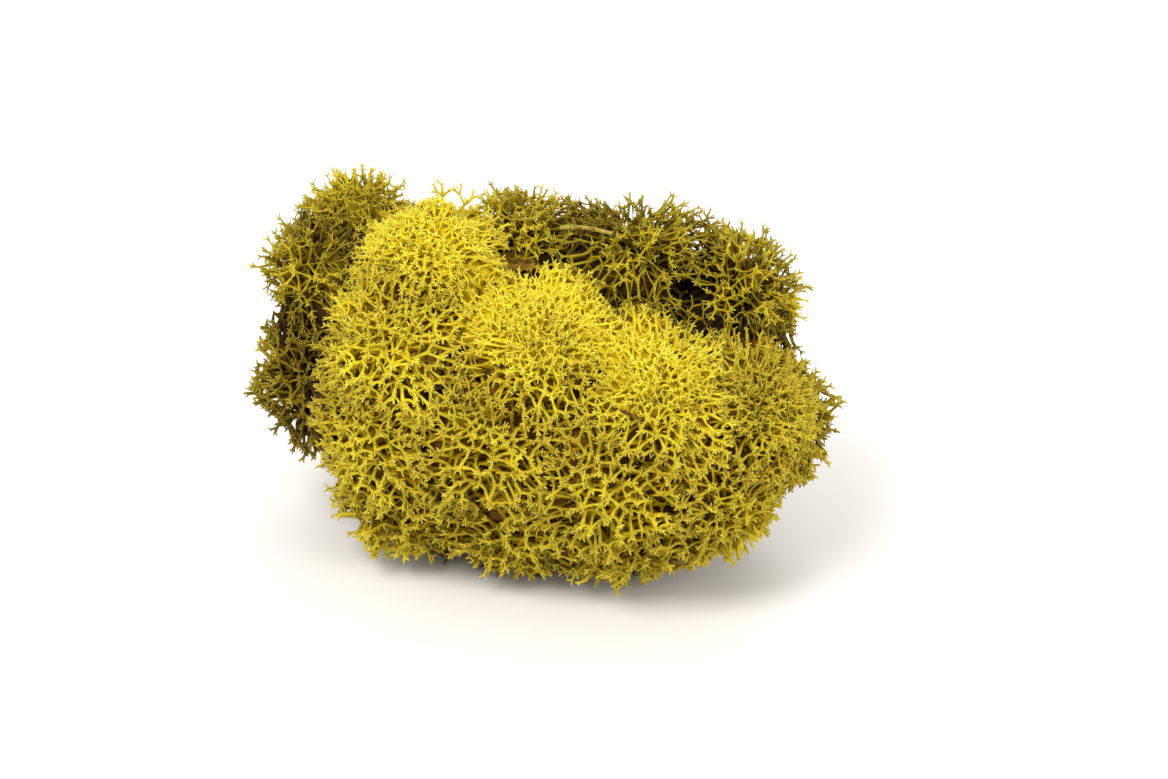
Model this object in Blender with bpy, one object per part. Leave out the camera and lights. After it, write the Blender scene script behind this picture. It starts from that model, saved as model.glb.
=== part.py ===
# Reindeer moss clump: rounded heads of forked lichen branches, rooted on a mound of dead stalks.
# Lengths in the tables are millimetres and become metres through MM. +Z is up and -Y is the front.
import itertools
import math
import random

import bpy
import bmesh
from mathutils import Matrix, Vector

MM = 0.001
SEED = 27

# Room left between neighbouring pieces, and under the lowest stalks
HEAD_GAP = 0.36 * MM
ROOM_GAP = 0.42 * MM
FLOOR_GAP = 0.8 * MM
WELD = 0.001 * MM

# The mound of dead stalks: lobes, each with its centre and half its size along x, y and z
MOUND_LOBES = (
    ((-0.5, 0.0, 14.0), (31.0, 12.5, 18.0)),
    ((-23.0, 0.0, 26.0), (13.0, 10.0, 18.5)),
    ((-1.0, 1.5, 24.0), (16.0, 10.0, 17.0)),
    ((21.0, 1.0, 22.0), (15.0, 10.0, 15.0)),
)
LOBE_SEGMENTS, LOBE_RINGS = 12, 8
LUMP_SHARE = 0.06

# Dead stalks, in a ring round the mound's foot and in the gaps that the heads leave higher up
FOOT_STALKS = 20
GAP_STALK_TRIES = 150
GAP_STALK_SHARE = 0.86
STALK_TOP = 4.6 * MM
STALK_REACH = 10.0 * MM
STALK_RADIUS = 1.15 * MM
STALK_SPREAD = 0.9

# A head's core in shares of the head's radius. It widens towards its root until it meets the mound.
CORE_SHARE = 0.4
CORE_SEGMENTS, CORE_RINGS = 6, 5
ROOT_DEPTH = 3.0 * MM
MOST_ROOT_SHARE = 2.0
ROOT_WIDENS_FROM, ROOT_WIDENS_TO = 0.3, 0.85

# A twig: a stem that forks in three, and each of its branches forks in three prongs
EVEN_TWIGS = 12
LEAST_OPEN_SHARE = 0.72
MOST_ROOTWARD_COS = 0.5
STEM_SHARE, FORK_SHARE, BRANCH_SHARE = 0.25, 0.6, 0.84
PRONG_SHARE_MIN, PRONG_SHARE_MAX = 0.96, 1.07
BRANCH_SPREAD, PRONG_SPREAD = 0.46, 0.27
STEM_RADIUS, FORK_RADIUS, BRANCH_RADIUS = 1.3 * MM, 1.15 * MM, 0.85 * MM
PRONG_MARGIN = 0.1 * MM
JITTER = 0.1
MOST_DRAWS = 8

# Each head: centre x, y, z, outer radius, and its finish
HEADS = {
    "head_crown_left": (-20.0, -7.0, 54.0, 11.5, "bright"),
    "head_middle_left": (-23.0, -17.0, 41.0, 11.5, "bright"),
    "head_low_left": (-24.0, -19.0, 26.0, 11.0, "gold"),
    "head_middle": (0.5, -16.5, 42.5, 11.0, "bright"),
    "head_right": (20.5, -16.5, 35.5, 11.5, "bright"),
    "head_far_right": (36.0, -10.0, 32.5, 11.0, "bright"),
    "head_low_middle": (-5.0, -21.0, 28.0, 11.5, "gold"),
    "head_low_right": (14.0, -21.0, 24.0, 11.5, "gold"),
    "head_low_far_right": (32.0, -15.0, 19.5, 11.5, "gold"),
    "head_left_tuft": (-41.0, -1.0, 46.0, 10.0, "olive"),
    "head_left_ridge": (-35.0, 9.0, 53.0, 9.5, "olive"),
    "head_back_middle": (-8.0, 8.0, 50.5, 11.0, "olive"),
    "head_back_right": (13.0, 9.0, 51.0, 12.0, "olive"),
    "head_back_far_right": (32.0, 8.5, 46.5, 11.5, "olive"),
    "head_foot_left": (-22.0, -15.5, 12.0, 11.0, "gold"),
    "head_foot_middle": (-2.0, -17.5, 12.0, 11.0, "gold"),
    "head_foot_right": (17.0, -16.0, 10.5, 10.0, "gold"),
    "head_side_right": (40.0, 5.0, 24.0, 12.0, "olive"),
    "head_side_left": (-39.0, -3.0, 26.0, 13.0, "olive"),
    "head_rear_left": (-25.0, 14.5, 34.0, 14.0, "olive"),
    "head_rear_middle": (-1.0, 17.5, 32.0, 14.0, "olive"),
    "head_rear_right": (21.0, 17.0, 28.0, 14.0, "olive"),
    "head_heel_left": (-24.0, 14.0, 13.0, 12.0, "olive"),
    "head_heel_right": (3.0, 18.0, 12.5, 11.5, "olive"),
    "head_heel_far_right": (28.0, 9.0, 11.0, 11.0, "olive"),
}

# Litter caught among the tips: the points a rod runs through, its radius, its sides and its finish
RODS = {
    "litter_stem": (((0.6, 4.5, 56.4), (4.0, 3.6, 57.3), (9.8, 2.0, 57.5)), 0.42, 5, "straw"),
    "litter_twig": (((8.0, -22.5, 37.2), (12.0, -25.2, 38.8), (15.4, -26.6, 39.4), (20.0, -28.0, 38.6)), 0.3, 4, "bark"),
}
LEAF_CENTRE = Vector((-6.6, -2.3, 51.8)) * MM
LEAF_SEMI_AXES = Vector((4.0, 2.1, 0.32)) * MM
LEAF_TURN = (math.radians(20.0), math.radians(6.0), math.radians(12.0))
LEAF_BEND = 60.0

# Base colour and roughness
FINISHES = {
    "bright": ((0.82, 0.70, 0.06), 0.8),
    "gold": ((0.68, 0.56, 0.06), 0.8),
    "olive": ((0.50, 0.44, 0.08), 0.85),
    "dead": ((0.16, 0.11, 0.06), 0.95),
    "straw": ((0.72, 0.66, 0.22), 0.7),
    "bark": ((0.22, 0.12, 0.06), 0.85),
}


def clear_scene():
    for old in list(bpy.data.objects):
        bpy.data.objects.remove(old)


def new_collection(name):
    made = bpy.data.collections.new(name)
    bpy.context.scene.collection.children.link(made)
    return made


def make_finish(name):
    colour, roughness = FINISHES[name]
    finish = bpy.data.materials.new("moss_" + name)
    finish.use_nodes = True
    shader = finish.node_tree.nodes["Principled BSDF"]
    shader.inputs["Base Color"].default_value = (*colour, 1.0)
    shader.inputs["Roughness"].default_value = roughness
    shader.inputs["Metallic"].default_value = 0.0
    return finish


def object_from(bm, name, collection, finish=None, location=(0.0, 0.0, 0.0)):
    mesh = bpy.data.meshes.new(name)
    bm.to_mesh(mesh)
    bm.free()
    if finish:
        mesh.materials.append(finish)
        mesh.shade_smooth()
        mesh.set_sharp_from_angle(angle=math.radians(50.0))
    made = bpy.data.objects.new(name, mesh)
    made.location = location
    collection.objects.link(made)
    return made


def smooth_step(low, high, value):
    share = min(1.0, max(0.0, (value - low) / (high - low)))
    return share * share * (3.0 - 2.0 * share)


def by_part(vector, divisor):
    return Vector(a / b for a, b in zip(vector, divisor))


def lobe_of(centre, semi_axes, margin=0.0):
    """A lobe's centre and half sizes in metres, margin larger all round."""
    return Vector(centre) * MM, Vector(semi_axes) * MM + Vector((margin, margin, margin))


def mound_distance(start, heading):
    """Distance from start, outside the mound, to the nearest lobe along heading, or infinity."""
    nearest = math.inf
    for lobe in MOUND_LOBES:
        centre, semi_axes = lobe_of(*lobe)
        p = by_part(start - centre, semi_axes)
        h = by_part(heading, semi_axes)
        a, b, c = h.dot(h), 2.0 * p.dot(h), p.dot(p) - 1.0
        under_root = b * b - 4.0 * a * c
        if under_root > 0.0:
            distance = (-b - math.sqrt(under_root)) / (2.0 * a)
            if distance > 0.0:
                nearest = min(nearest, distance)
    return nearest


def pulled_to_lobe(point, lobe, margin=0.0):
    """The point, moved straight towards or away from the lobe's centre onto its skin."""
    centre, semi_axes = lobe_of(*lobe, margin)
    return centre + (point - centre) / by_part(point - centre, semi_axes).length


def out_of_mound(point, margin):
    """The point, moved out to margin from each lobe it lies deeper in."""
    for lobe in MOUND_LOBES:
        centre = lobe_of(*lobe)[0]
        skin = pulled_to_lobe(point, lobe, margin)
        if (skin - centre).length > (point - centre).length:
            point = skin
    return point


class Head:
    """One rounded head, with the walls of the room that it shares with its neighbours."""

    def __init__(self, name):
        x, y, z, radius, self.finish = HEADS[name]
        self.name = name
        self.centre = Vector((x, y, z)) * MM
        self.radius = radius * MM
        seats = [pulled_to_lobe(self.centre, lobe) - self.centre for lobe in MOUND_LOBES]
        self.rootward = min(seats, key=lambda seat: seat.length).normalized()
        self.walls = [(Vector((0.0, 0.0, -1.0)), self.centre.z - STALK_TOP - HEAD_GAP)]

    def share_room_with(self, other):
        """Adds the wall half way to the other head, set over by the difference of their radii."""
        across = other.centre - self.centre
        offset = (across.length_squared + self.radius**2 - other.radius**2) / (2.0 * across.length)
        self.walls.append((across.normalized(), offset - HEAD_GAP / 2.0))

    def wall_distance(self, heading):
        """How far heading leads from the centre before it meets a wall."""
        met = (reach / heading.dot(normal) for normal, reach in self.walls if heading.dot(normal) > 1e-6)
        return min(met, default=math.inf)

    def kept_in(self, offset, margin):
        """The offset from the centre, moved inside the walls and out of the mound by margin."""
        for _ in range(3):
            offset = out_of_mound(self.centre + offset, ROOM_GAP + margin) - self.centre
            for normal, reach in self.walls:
                offset = offset - normal * max(0.0, normal.dot(offset) - (reach - margin))
        return offset


def core_mesh(head):
    """A small round core, whose root side widens until it meets the mound and the walls."""
    bm = bmesh.new()
    turn = head.rootward.to_track_quat("-Z", "Y")
    bmesh.ops.create_uvsphere(bm, u_segments=CORE_SEGMENTS, v_segments=CORE_RINGS, radius=1.0)
    for vertex in bm.verts:
        heading = turn @ vertex.co.normalized()
        rootness = smooth_step(ROOT_WIDENS_FROM, ROOT_WIDENS_TO, heading.dot(head.rootward))
        seat = mound_distance(head.centre, heading) + ROOT_DEPTH
        reach = CORE_SHARE * head.radius
        if reach < seat < MOST_ROOT_SHARE * head.radius:
            reach += rootness * (seat - reach)
        vertex.co = heading * min(reach, head.wall_distance(heading))
    return bm


def limb_mesh(start, end, start_radius, end_radius, sides, spin):
    """A straight tapered limb with closed ends. Returns its mesh and the face at its end."""
    along = end - start
    turn = along.to_track_quat("Z", "Y").to_matrix().to_4x4() @ Matrix.Rotation(spin, 4, "Z")
    bm = bmesh.new()
    bmesh.ops.create_cone(
        bm, cap_ends=True, segments=sides, radius1=start_radius, radius2=end_radius,
        depth=along.length, matrix=Matrix.Translation((start + end) / 2.0) @ turn,
    )
    return bm, min(bm.faces, key=lambda face: (face.calc_center_median() - end).length)


def grow(bm, face, centre, radius):
    """Draws the end face of a limb out to centre with the given radius. Returns the new end face."""
    start = face.calc_center_median()
    heading = (centre - start).normalized()
    end = bmesh.ops.extrude_discrete_faces(bm, faces=[face])["faces"][0]
    for vertex in end.verts:
        across = vertex.co - start
        across -= heading * across.dot(heading)
        vertex.co = centre + across.normalized() * radius
    return end


def split(bm, face, crest):
    """Splits a limb's end face round a point drawn out to crest. Returns the faces round it."""
    poked = bmesh.ops.poke(bm, faces=[face])
    poked["verts"][0].co = crest
    return poked["faces"]


def twig_mesh(head, outward, rng):
    """One twig of a head, with nine prongs, kept inside the head's room."""
    spin = rng.uniform(0.0, math.tau)
    start = head.kept_in(outward * STEM_SHARE * head.radius, STEM_RADIUS)
    fork = head.kept_in(outward * FORK_SHARE * head.radius, FORK_RADIUS)
    bm, end = limb_mesh(start, fork, STEM_RADIUS, FORK_RADIUS, 3, spin)
    for root in split(bm, end, fork + outward * 0.5 * FORK_RADIUS):
        side = (root.calc_center_median() - fork).normalized()
        shake = Vector(rng.uniform(-JITTER, JITTER) for _ in range(3))
        lean = (outward + BRANCH_SPREAD * side + shake).normalized()
        knot = head.kept_in(lean * BRANCH_SHARE * head.radius, BRANCH_RADIUS)
        for branch in split(bm, grow(bm, root, knot, BRANCH_RADIUS), knot + lean * 0.5 * BRANCH_RADIUS):
            side = (branch.calc_center_median() - knot).normalized()
            heading = (lean + PRONG_SPREAD * side).normalized()
            reach = rng.uniform(PRONG_SHARE_MIN, PRONG_SHARE_MAX) * head.radius
            split(bm, branch, head.kept_in(heading * reach, PRONG_MARGIN))
    bmesh.ops.recalc_face_normals(bm, faces=bm.faces)
    return bm


def even_headings(count, spin):
    """Headings spread evenly over a sphere along a spiral."""
    golden = math.pi * (3.0 - math.sqrt(5.0))
    for k in range(count):
        z = 1.0 - (2.0 * k + 1.0) / count
        flat = math.sqrt(1.0 - z * z)
        yield Vector((flat * math.cos(spin + k * golden), flat * math.sin(spin + k * golden), z))


def free_headings(head, rng):
    """The even headings that have room for a twig, away from the head's root."""
    for heading in even_headings(EVEN_TWIGS, rng.uniform(0.0, math.tau)):
        reach = min(head.wall_distance(heading), mound_distance(head.centre, heading))
        if heading.dot(head.rootward) < MOST_ROOTWARD_COS and reach > LEAST_OPEN_SHARE * head.radius:
            yield heading


def keep_outer_skin(mesh):
    """Fills the small voids that crossing branches close off. Returns whether the skin touches itself nowhere."""
    bm = bmesh.new()
    bm.from_mesh(mesh)
    bmesh.ops.triangulate(bm, faces=bm.faces)
    bmesh.ops.remove_doubles(bm, verts=bm.verts, dist=WELD)
    unseen = set(bm.faces)
    skins = []
    while unseen:
        skin, front = [], [unseen.pop()]
        while front:
            face = front.pop()
            skin.append(face)
            near = {other for edge in face.edges if edge.is_manifold for other in edge.link_faces} & unseen
            unseen -= near
            front.extend(near)
        skins.append(skin)
    skins.sort(key=len)
    for skin in skins[:-1]:
        bmesh.ops.delete(bm, geom=skin, context="FACES")
    clean = all(part.is_manifold for part in [*bm.verts, *bm.edges])
    bm.to_mesh(mesh)
    bm.free()
    return clean


def add_boolean(body, operation, collection):
    boolean = body.modifiers.new(operation.lower(), "BOOLEAN")
    boolean.operation = operation
    boolean.operand_type = "COLLECTION"
    boolean.collection = collection
    boolean.solver = "MANIFOLD"


def fuse(body, repeats, cutters=None):
    """Joins the repeats to body in one union, cuts the cutters' room free, and removes the repeats.

    Returns whether the skin touches itself nowhere.
    """
    add_boolean(body, "UNION", repeats)
    if cutters:
        add_boolean(body, "DIFFERENCE", cutters)
    graph = bpy.context.evaluated_depsgraph_get()
    body.data = bpy.data.meshes.new_from_object(body.evaluated_get(graph))
    body.modifiers.clear()
    clean = keep_outer_skin(body.data)
    body.data.shade_smooth()
    body.data.set_sharp_from_angle(angle=math.radians(50.0))
    for old in list(repeats.objects):
        bpy.data.objects.remove(old)
    bpy.data.collections.remove(repeats)
    return clean


def make_head(head, clump, finish, cutters):
    """Draws the head's twigs at random, and draws them again while any two touch along an edge."""
    for draw in range(MOST_DRAWS):
        rng = random.Random(f"{SEED}{head.name}{draw}")
        twigs = new_collection("twigs")
        for outward in free_headings(head, rng):
            object_from(twig_mesh(head, outward, rng), "twig", twigs, location=head.centre)
        body = object_from(core_mesh(head), head.name, clump, finish, head.centre)
        if fuse(body, twigs, cutters):
            return
        bpy.data.objects.remove(body)
        print(head.name, "is drawn again")


def lobe_mesh(centre, semi_axes):
    """One lumpy lobe of the mound, cut flat at the floor."""
    bm = bmesh.new()
    bmesh.ops.create_uvsphere(bm, u_segments=LOBE_SEGMENTS, v_segments=LOBE_RINGS, radius=1.0)
    for vertex in bm.verts:
        p = vertex.co
        lump = 1.0 - LUMP_SHARE * (0.5 + 0.5 * math.sin(5.0 * p.x + 2.0 * p.z) * math.cos(4.0 * p.y))
        vertex.co = centre + p * semi_axes * lump
    bmesh.ops.bisect_plane(bm, geom=bm.verts[:] + bm.edges[:] + bm.faces[:], plane_co=(0.0, 0.0, 0.0),
                           plane_no=(0.0, 0.0, -1.0), clear_outer=True)
    bmesh.ops.edgeloop_fill(bm, edges=[edge for edge in bm.edges if edge.is_boundary])
    bmesh.ops.recalc_face_normals(bm, faces=bm.faces)
    return bm


def stalk_mesh(foot, outward, lowest, highest, rng):
    """One dead stalk that leans outward from its foot in the mound and ends in three points."""
    knee = foot + outward * STALK_REACH * rng.uniform(0.3, 0.5)
    bm, end = limb_mesh(foot - outward * 2.0 * STALK_RADIUS, knee, STALK_RADIUS, 0.8 * STALK_RADIUS, 3,
                        rng.uniform(0.0, math.tau))
    for root in split(bm, end, knee + outward * 0.4 * STALK_RADIUS):
        side = (root.calc_center_median() - knee).normalized()
        tip = knee + (outward + STALK_SPREAD * side) * STALK_REACH * rng.uniform(0.3, 0.5)
        tip.z = min(highest, max(lowest, tip.z))
        split(bm, root, tip)
    bmesh.ops.recalc_face_normals(bm, faces=bm.faces)
    return bm


def foot_stalks(rng):
    """The stalks under the lowest heads, which stay between the floor and the heads' room."""
    centre, semi_axes = lobe_of(*MOUND_LOBES[0])
    for k in range(FOOT_STALKS):
        turn = (k + rng.uniform(-0.3, 0.3)) * math.tau / FOOT_STALKS
        outward = Vector((math.cos(turn), math.sin(turn), 0.0))
        height = rng.uniform(FLOOR_GAP + STALK_RADIUS, STALK_TOP - 1.3 * STALK_RADIUS)
        share = math.sqrt(1.0 - ((height - centre.z) / semi_axes.z) ** 2)
        foot = outward * semi_axes * share + Vector((0.0, 0.0, height))
        yield stalk_mesh(foot, outward, FLOOR_GAP, STALK_TOP, rng)


def gap_stalks(heads, rng):
    """The stalks higher up, where no head is near."""
    middle = lobe_of(*MOUND_LOBES[0])[0]
    far = 0.2
    for outward in even_headings(GAP_STALK_TRIES, 0.0):
        foot = middle + outward * (far - mound_distance(middle + outward * far, -outward))
        tip = foot + outward * 0.6 * STALK_REACH
        free = all((tip - head.centre).length > GAP_STALK_SHARE * head.radius for head in heads)
        if free and tip.z > STALK_TOP + 0.5 * STALK_REACH:
            yield stalk_mesh(foot, outward, STALK_TOP, math.inf, rng)


def make_mound(clump, finish, heads, cutters):
    rng = random.Random(SEED)
    repeats = new_collection("stalks and lobes")
    body = object_from(lobe_mesh(*lobe_of(*MOUND_LOBES[0])), "dead_stalk_mound", clump, finish)
    for lobe in MOUND_LOBES[1:]:
        object_from(lobe_mesh(*lobe_of(*lobe)), "lobe", repeats)
    for stalk in gap_stalks(heads, rng):
        object_from(stalk, "gap_stalk", repeats)
    for piece in [body, *repeats.objects]:
        leave_room(piece, cutters)
    for stalk in foot_stalks(rng):
        object_from(stalk, "foot_stalk", repeats)
    fuse(body, repeats)


def leave_room(piece, cutters):
    """A cutter a little larger than the piece, which keeps the heads clear of it."""
    room = bpy.data.objects.new(piece.name + "_room", piece.data.copy())
    room.location, room.rotation_euler = piece.location, piece.rotation_euler
    cutters.objects.link(room)
    room.hide_render = True
    room.display_type = "WIRE"
    swell = room.modifiers.new("swell", "DISPLACE")
    swell.strength = ROOM_GAP
    swell.mid_level = 0.0


def rod_mesh(points, radius, sides):
    """A bent rod through the points."""
    points = [Vector(point) * MM for point in points]
    bm, end = limb_mesh(points[0], points[1], radius * MM, radius * MM, sides, 0.0)
    for point in points[2:]:
        end = grow(bm, end, point, radius * MM)
    bmesh.ops.recalc_face_normals(bm, faces=bm.faces)
    return bm


def leaf_mesh():
    """A bent scrap of leaf."""
    bm = bmesh.new()
    bmesh.ops.create_uvsphere(bm, u_segments=8, v_segments=4, radius=1.0)
    for vertex in bm.verts:
        vertex.co = vertex.co * LEAF_SEMI_AXES
        vertex.co.z += LEAF_BEND * vertex.co.x**2
    return bm


def make_litter(clump, cutters, finishes):
    for name, (points, radius, sides, finish) in RODS.items():
        leave_room(object_from(rod_mesh(points, radius, sides), name, clump, finishes[finish]), cutters)
    leaf = object_from(leaf_mesh(), "litter_leaf", clump, finishes["bark"], LEAF_CENTRE)
    leaf.rotation_euler = LEAF_TURN
    leave_room(leaf, cutters)


def gather(clump):
    """Parents the pieces to an empty that stands their common box over the origin."""
    bpy.context.view_layer.update()
    corners = [piece.matrix_world @ vertex.co for piece in clump.objects for vertex in piece.data.vertices]
    middle = [(min(c[axis] for c in corners) + max(c[axis] for c in corners)) / 2.0 for axis in (0, 1)]
    stand = bpy.data.objects.new("clump_stand", None)
    stand.location = (-middle[0], -middle[1], 0.0)
    for piece in clump.objects:
        piece.parent = stand
    clump.objects.link(stand)
    print("stand at", [round(part / MM, 2) for part in stand.location], "mm")


def build():
    clear_scene()
    clump = new_collection("reindeer_moss_clump")
    cutters = new_collection("cutters")
    finishes = {name: make_finish(name) for name in FINISHES}
    heads = [Head(name) for name in HEADS]
    for head, other in itertools.permutations(heads, 2):
        head.share_room_with(other)
    make_litter(clump, cutters, finishes)
    make_mound(clump, finishes["dead"], heads, cutters)
    for head in heads:
        make_head(head, clump, finishes[head.finish], cutters)
    gather(clump)


build()
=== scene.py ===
# Reindeer moss clump: finely forked branches on every head, dead stalks inside, and litter caught in the tips
import math
import time

import bmesh
import bpy
import numpy as np
from mathutils import Matrix, Vector


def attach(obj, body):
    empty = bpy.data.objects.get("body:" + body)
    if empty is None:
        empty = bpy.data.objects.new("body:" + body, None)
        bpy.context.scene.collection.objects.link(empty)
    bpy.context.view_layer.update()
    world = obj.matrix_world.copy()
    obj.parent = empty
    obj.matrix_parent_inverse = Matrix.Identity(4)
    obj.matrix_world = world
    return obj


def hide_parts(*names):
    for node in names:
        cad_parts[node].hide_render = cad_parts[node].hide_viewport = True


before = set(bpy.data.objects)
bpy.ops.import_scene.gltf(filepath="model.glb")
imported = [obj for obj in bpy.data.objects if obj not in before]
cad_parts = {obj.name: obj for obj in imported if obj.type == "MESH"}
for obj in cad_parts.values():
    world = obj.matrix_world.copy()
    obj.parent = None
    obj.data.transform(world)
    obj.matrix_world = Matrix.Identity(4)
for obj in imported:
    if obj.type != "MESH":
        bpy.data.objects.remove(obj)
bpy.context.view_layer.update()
startTime = time.time()
mm = 0.001
golden = math.pi * (3.0 - math.sqrt(5.0))


def report(text):
    print(f"{time.time() - startTime:6.1f} s  {text}")


# Where the clump stands: what its layout below is moved by, in mm
stand = np.array((-0.12, 0.62, 0.0))

# How a head is branched, and what most heads share. Lengths are in mm, and depths are below the head's skin.
# A pair is the value where the weave is dense and where it is open.
commonStyle = {"middleAge": 1.0, "segments": 2, "prongs": (1, 3), "prongShow": (0.85, 0.85),
               "prongLength": ((0.6, 1.1), (0.7, 1.4)), "prongRadius": (0.145, 0.165), "links": 0.5,
               "pits": 1.5, "sides": 3}
mossStyles = {
    "cushion": {"cell": (1.46, 2.85), "innerCell": (2.7, 3.2), "depth": (1.7, 1.35), "innerDepth": (2.6, 3.9),
                "middleDepth": (2.95, 6.4), "middleAge": 0.96, "rim": (0.18, 0.245), "sag": 0.34,
                "prongLength": ((0.5, 0.95), (0.75, 1.5)), "prongRadius": (0.172, 0.185),
                "prongSpread": (18.0, 68.0), "rimProngs": (0.35, 0.90), "arms": (0.85, 0.35),
                "armLength": (0.5, 1.2), "thatch": 110, "antlers": 0.035, "lump": 1.0, "pits": 1.75,
                "sides": 4},
    "plain": {"cell": (2.35, 3.0), "innerCell": (3.4, 3.7), "depth": (1.5, 1.4), "innerDepth": (3.6, 3.8),
              "middleDepth": (4.6, 5.4), "middleAge": 0.98, "rim": (0.19, 0.26), "sag": 0.34,
              "prongs": (2, 3), "prongShow": (0.90, 0.90), "prongLength": ((0.7, 1.2), (0.75, 1.35)),
              "prongRadius": (0.17, 0.20), "prongSpread": (18.0, 66.0), "rimProngs": (0.5, 0.8),
              "arms": (0.30, 0.30), "armLength": (0.6, 1.4), "thatch": 120, "antlers": 0.03, "links": 0.4,
              "lump": 1.2, "pits": 1.9},
    "tuft": {"cell": (2.0, 2.8), "innerCell": (3.0, 3.3), "depth": (1.8, 1.8), "innerDepth": (3.6, 4.2),
             "middleDepth": (5.0, 6.4), "rim": (0.15, 0.20), "sag": 0.36, "prongSpread": (15.0, 62.0),
             "rimProngs": (0.4, 0.8), "arms": (0.70, 0.40), "armLength": (0.6, 1.6), "thatch": 100,
             "antlers": 0.04, "lump": 1.3},
    "wispy": {"cell": (2.2, 3.0), "innerCell": (2.8, 3.2), "depth": (1.7, 2.0), "innerDepth": (3.9, 4.6),
              "middleDepth": (6.6, 8.0), "rim": (0.16, 0.205), "sag": 0.44, "segments": 3, "prongs": (2, 3),
              "prongShow": (0.85, 0.80), "prongSpread": (15.0, 66.0), "rimProngs": (0.7, 1.2),
              "arms": (0.35, 0.40), "armLength": (0.8, 2.0), "thatch": 150, "antlers": 0.05, "links": 0.8,
              "lump": 1.5},
}
mossStyles = {name: {**commonStyle, **style} for name, style in mossStyles.items()}

# Each head of the clump: its middle and radius in mm, its finish, how it is branched, how open its weave is
# at the top and at the foot (0 dense, 1 open), and its tone at the front and at the back (0 dull, 1 bright).
# The duller tones at the back, on the left side and on the low heads are partly painted shade.
headParts = ("at", "radius", "finish", "style", "weave", "tone")
heads = {
    # seen in the photograph
    "head_crown_left": ((-19.5, -7.0, 53.9), 10.3, "bright", "cushion", (0.0, 0.35), (0.84, 0.45)),
    "head_middle_left": ((-23.0, -17.0, 41.0), 11.5, "bright", "cushion", (0.45, 0.9), (0.53, 0.3)),
    "head_low_left": ((-24.0, -19.0, 26.0), 11.0, "gold", "cushion", (0.8, 1.0), (0.38, 0.26)),
    "head_middle": ((0.5, -16.5, 42.5), 11.0, "bright", "cushion", (0.05, 0.8), (0.85, 0.5)),
    "head_right": ((20.5, -16.5, 35.5), 11.5, "bright", "cushion", (0.05, 0.8), (0.8, 0.45)),
    "head_far_right": ((36.0, -10.0, 32.5), 11.0, "bright", "cushion", (0.1, 0.6), (0.08, 0.08)),
    "head_low_middle": ((-5.0, -21.0, 28.0), 11.5, "gold", "cushion", (0.75, 1.0), (0.24, 0.18)),
    "head_low_right": ((14.0, -21.0, 24.0), 11.5, "gold", "cushion", (0.7, 1.0), (0.36, 0.22)),
    "head_low_far_right": ((32.0, -15.0, 19.5), 11.5, "gold", "cushion", (0.6, 1.0), (0.3, 0.18)),
    "head_left_tuft": ((-41.0, -1.0, 46.0), 10.0, "olive", "tuft", (0.2, 0.8), (0.44, 0.44)),
    "head_left_ridge": ((-35.0, 9.0, 53.0), 9.5, "olive", "tuft", (0.1, 0.8), (1.0, 0.75)),
    "head_back_middle": ((-8.0, 8.0, 50.5), 11.0, "olive", "wispy", (0.3, 0.75), (0.82, 0.54)),
    "head_back_right": ((13.0, 9.0, 51.0), 12.0, "olive", "wispy", (0.3, 0.75), (0.72, 0.36)),
    "head_back_far_right": ((32.0, 8.5, 46.5), 11.5, "olive", "wispy", (0.3, 0.85), (0.68, 0.47)),
    # on the hidden sides
    "head_foot_left": ((-22.0, -15.5, 12.0), 11.0, "gold", "plain", (1.0, 1.0), (0.36, 0.25)),
    "head_foot_middle": ((-2.0, -17.5, 12.0), 11.0, "gold", "plain", (1.0, 1.0), (0.34, 0.24)),
    "head_foot_right": ((17.0, -16.0, 10.5), 10.0, "gold", "plain", (1.0, 1.0), (0.38, 0.25)),
    "head_side_right": ((40.0, 5.0, 24.0), 12.0, "olive", "plain", (0.8, 1.0), (0.68, 0.43)),
    "head_side_left": ((-39.0, -3.0, 26.0), 13.0, "olive", "plain", (0.8, 1.0), (0.0, 0.18)),
    "head_rear_left": ((-25.0, 14.5, 34.0), 14.0, "olive", "plain", (0.7, 1.0), (0.52, 0.54)),
    "head_rear_middle": ((-1.0, 17.5, 32.0), 14.0, "olive", "plain", (0.7, 1.0), (0.58, 0.6)),
    "head_rear_right": ((21.0, 17.0, 28.0), 14.0, "olive", "plain", (0.7, 1.0), (0.54, 0.54)),
    "head_heel_left": ((-24.0, 14.0, 13.0), 12.0, "olive", "plain", (1.0, 1.0), (0.36, 0.38)),
    "head_heel_right": ((3.0, 18.0, 12.5), 11.5, "olive", "plain", (1.0, 1.0), (0.4, 0.42)),
    "head_heel_far_right": ((28.0, 9.0, 11.0), 11.0, "olive", "plain", (1.0, 1.0), (0.4, 0.38)),
}
heads = {name: dict(zip(headParts, row)) for name, row in heads.items()}

# Where the weave is kept open, for the litter to show and for a dark hollow, whose darkness is also painted
# shade: place and radius in mm
hollows = (((25.0, -1.0, 47.5), 3.4), ((27.0, -3.0, 44.0), 3.0))
clearings = (((-7.0, -4.6, 53.6), 2.4), ((-4.0, -4.4, 53.6), 2.2), ((2.4, 3.4, 58.0), 1.4),
             ((5.4, 2.6, 58.6), 1.4), ((8.4, 1.8, 58.8), 1.4), ((10.5, -25.0, 39.4), 1.0),
             ((13.5, -26.8, 40.2), 1.0), ((17.0, -28.2, 40.0), 1.0)) + hollows
hollowShadeFade = (5.5, 9.5)     # how far past a hollow's radius its painted shade starts to fade, and where it ends
drawBack = 2.1              # how far the heads' middles draw back from a clearing, in its radius
drawRounds = 3

# How low things may come, in mm above the floor: the net, the packed middles, the thatch, forks and tips
netFloor, middleFloor, thatchFloor, forkFloor, tipFloor = 2.2, 1.5, 1.6, 0.9, 0.5

# Rounded fillings below the skin, where the heads close up without a valley: place and radius in mm
fillings = (((12.0, -5.0, 42.5), 8.0), ((2.0, -4.0, 43.5), 7.0), ((-5.5, -4.5, 44.5), 6.0),
            ((-14.5, -22.0, 27.5), 7.5), ((4.5, -23.0, 26.0), 7.5), ((23.0, -20.0, 23.0), 7.5))

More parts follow.
